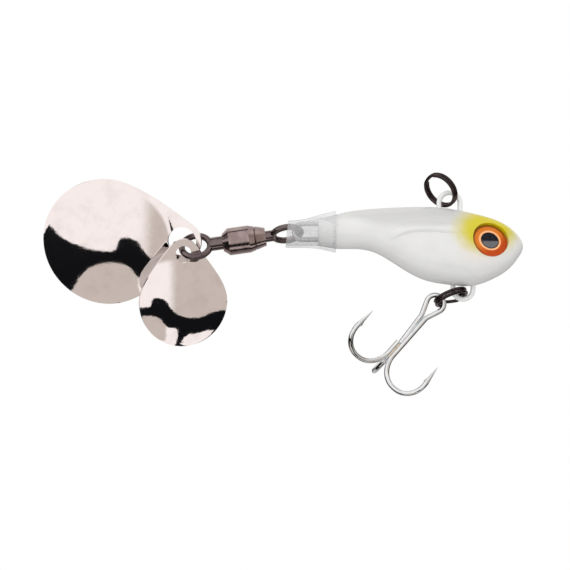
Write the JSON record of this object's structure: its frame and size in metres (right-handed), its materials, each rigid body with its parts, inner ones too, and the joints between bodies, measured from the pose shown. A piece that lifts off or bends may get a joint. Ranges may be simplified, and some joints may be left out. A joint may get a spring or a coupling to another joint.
{
  "type": "tail-spinner fishing lure",
  "caption": "Fish-shaped lead jig body on a bent wire with a treble hook under the belly and a barrel swivel carrying teardrop spinner blades behind the tail.",
  "frame": {"origin": "centre of the line-tie wire eye on the back, where the angler's line or snap pulls", "axes": "+X towards the nose, +Z towards the back (up as it hangs level in use), +Y towards the fish's left side"},
  "size_m": [0.0643, 0.011, 0.0297],
  "materials": {
    "pearl_paint": "gloss",
    "steel_wire": "gloss",
    "eye_foil": "gloss",
    "clear_lens": "gloss",
    "black_nickel": "gloss",
    "hook_steel": "gloss",
    "braze": "satin",
    "swivel_nickel": "gloss",
    "blade_nickel": "mirror",
    "clear_sleeve": "satin"
  },
  "bodies": {
    "lure_body": {"body_casting": "pearl_paint", "wire_frame": "steel_wire", "eye_foil_right": "eye_foil", "eye_foil_left": "eye_foil", "eye_lens_right": "clear_lens", "eye_lens_left": "clear_lens", "tail_sleeve": "clear_sleeve"},
    "line_ring": {"line_tie_split_ring": "black_nickel"},
    "belly_ring": {"belly_split_ring": "black_nickel"},
    "treble": {"treble_double_hook": "hook_steel", "treble_single_hook": "hook_steel", "treble_braze": "braze"},
    "front_eye": {"swivel_front_eye": "swivel_nickel"},
    "barrel": {"swivel_barrel": "swivel_nickel"},
    "rear_eye": {"swivel_rear_eye": "swivel_nickel"},
    "large_blade_body": {"large_blade": "blade_nickel"},
    "small_blade_body": {"small_blade": "blade_nickel"}
  },
  "joints": [
    {"name": "line_ring_swing", "type": "hinge", "parent": "lure_body", "child": "line_ring", "pos_m": [0.0003, 0, 0], "axis": [0, 1, 0], "range_deg": [-10, 100]},
    {"name": "belly_ring_swing", "type": "hinge", "parent": "lure_body", "child": "belly_ring", "pos_m": [0.00215, 0, -0.01172], "axis": [0, 1, 0], "range_deg": [-90, 0]},
    {"name": "treble_swing", "type": "hinge", "parent": "belly_ring", "child": "treble", "pos_m": [-0.00179, 0, -0.01331], "axis": [0, 1, 0], "range_deg": [-60, 60]},
    {"name": "swivel_swing", "type": "hinge", "parent": "lure_body", "child": "front_eye", "pos_m": [-0.01986, 0, -0.00382], "axis": [0.0632, 0.891, -0.4496], "range_deg": [-20, 20], "stiffness_Nm_per_rad": 0.0037, "springref_deg": 4.81, "deforming": ["tail_sleeve"]},
    {"name": "barrel_spin", "type": "hinge", "parent": "front_eye", "child": "barrel", "pos_m": [-0.01986, 0, -0.00382], "axis": [-0.9903, 0, -0.1392], "continuous": true},
    {"name": "rear_eye_spin", "type": "hinge", "parent": "barrel", "child": "rear_eye", "pos_m": [-0.01986, 0, -0.00382], "axis": [-0.9903, 0, -0.1392], "continuous": true},
    {"name": "large_blade_swing", "type": "hinge", "parent": "rear_eye", "child": "large_blade_body", "pos_m": [-0.03553, 0.00064, -0.00531], "axis": [0.4056, 0.5795, 0.7069], "range_deg": [-3, 14]},
    {"name": "small_blade_swing", "type": "hinge", "parent": "rear_eye", "child": "small_blade_body", "pos_m": [-0.03533, -0.00064, -0.00671], "axis": [-0.5847, 0.5795, 0.5677], "range_deg": [-9, 5]}
  ]
}
